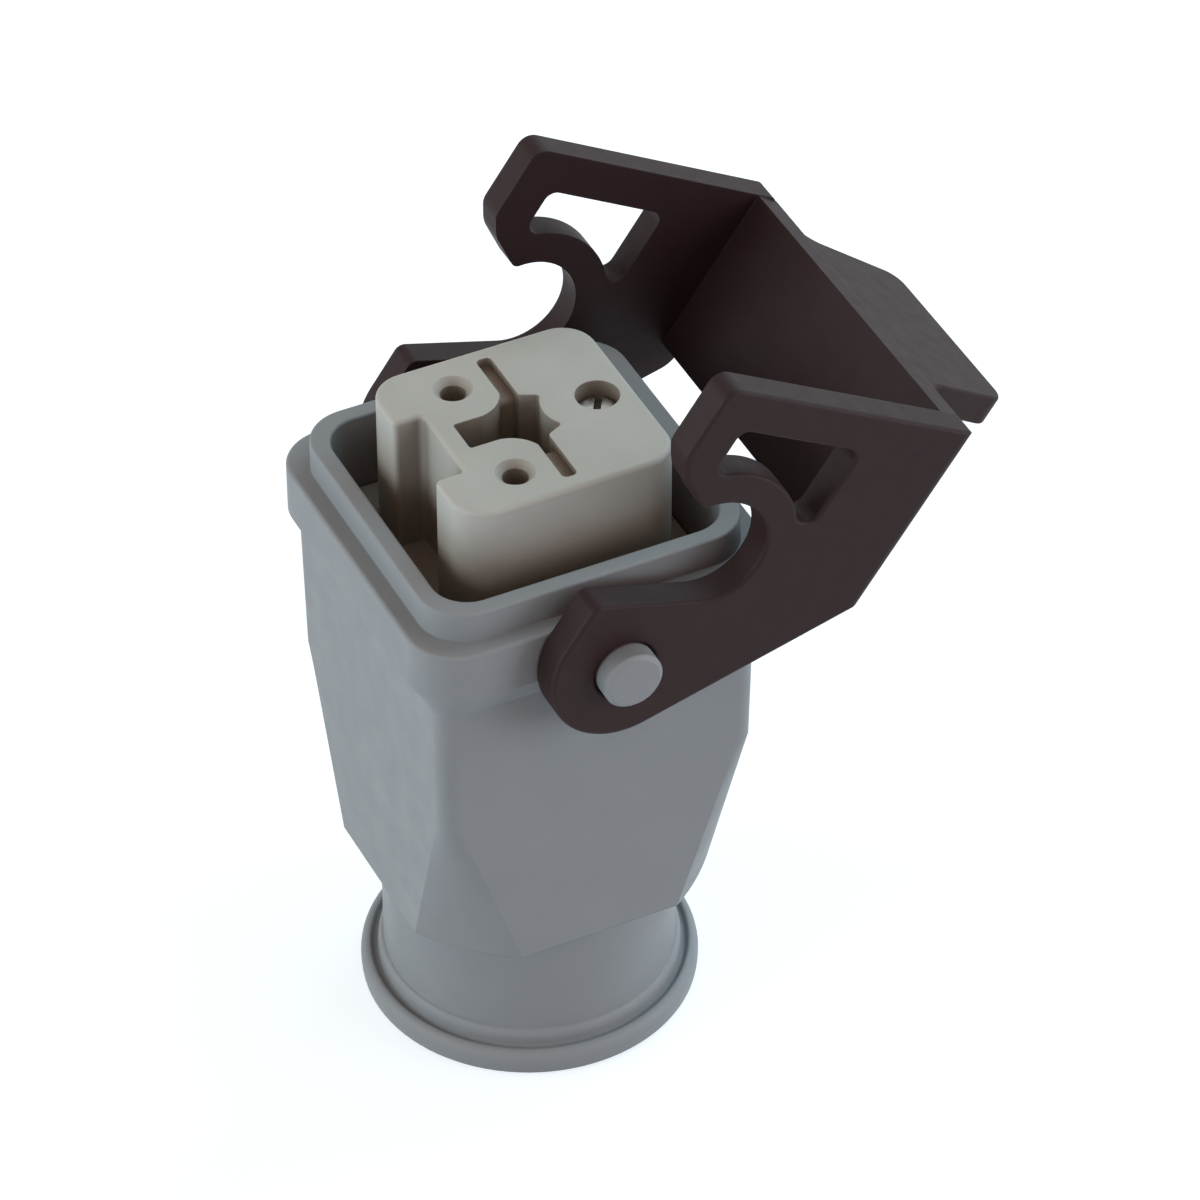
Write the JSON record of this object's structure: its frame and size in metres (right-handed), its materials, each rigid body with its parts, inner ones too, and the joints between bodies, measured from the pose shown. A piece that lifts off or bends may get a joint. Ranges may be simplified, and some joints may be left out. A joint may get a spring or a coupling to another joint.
{
  "type": "extension socket",
  "caption": "Square cable-end connector socket with a female insert, a round cable entry and a hinged U-shaped locking lever.",
  "frame": {"origin": "centre of the cable entry's mouth, on the base ring's flat face", "axes": "+Z is the mating direction, X is the lever's hinge axis, +Y is the side that the open lever's bridge stands on"},
  "size_m": [0.0398, 0.0533, 0.0707],
  "materials": {
    "housing_paint": "semi-matt blue-grey paint on a zinc casting",
    "lever_plastic": "dark charcoal matt moulding",
    "insert_plastic": "warm light grey matt moulding",
    "contact_metal": "plated copper alloy",
    "steel": "zinc-plated steel"
  },
  "bodies": {
    "hood": {"housing": "housing_paint", "insert_body": "insert_plastic", "left_contact": "contact_metal", "right_contact": "contact_metal", "terminal_screws": "steel", "left_wire_guard": "steel", "right_wire_guard": "steel", "contact_retainer": "insert_plastic", "earth_plate": "contact_metal", "earth_terminal_screw": "steel", "earth_clamp_washer": "steel", "fixing_screw": "steel", "fixing_screw_washer": "steel"},
    "lever": {"locking_lever": "lever_plastic"}
  },
  "joints": [
    {"name": "lever_hinge", "type": "hinge", "parent": "hood", "child": "lever", "pos_m": [0, 0, 0.04645], "axis": [1, 0, 0], "range_deg": [-45, 42]}
  ]
}
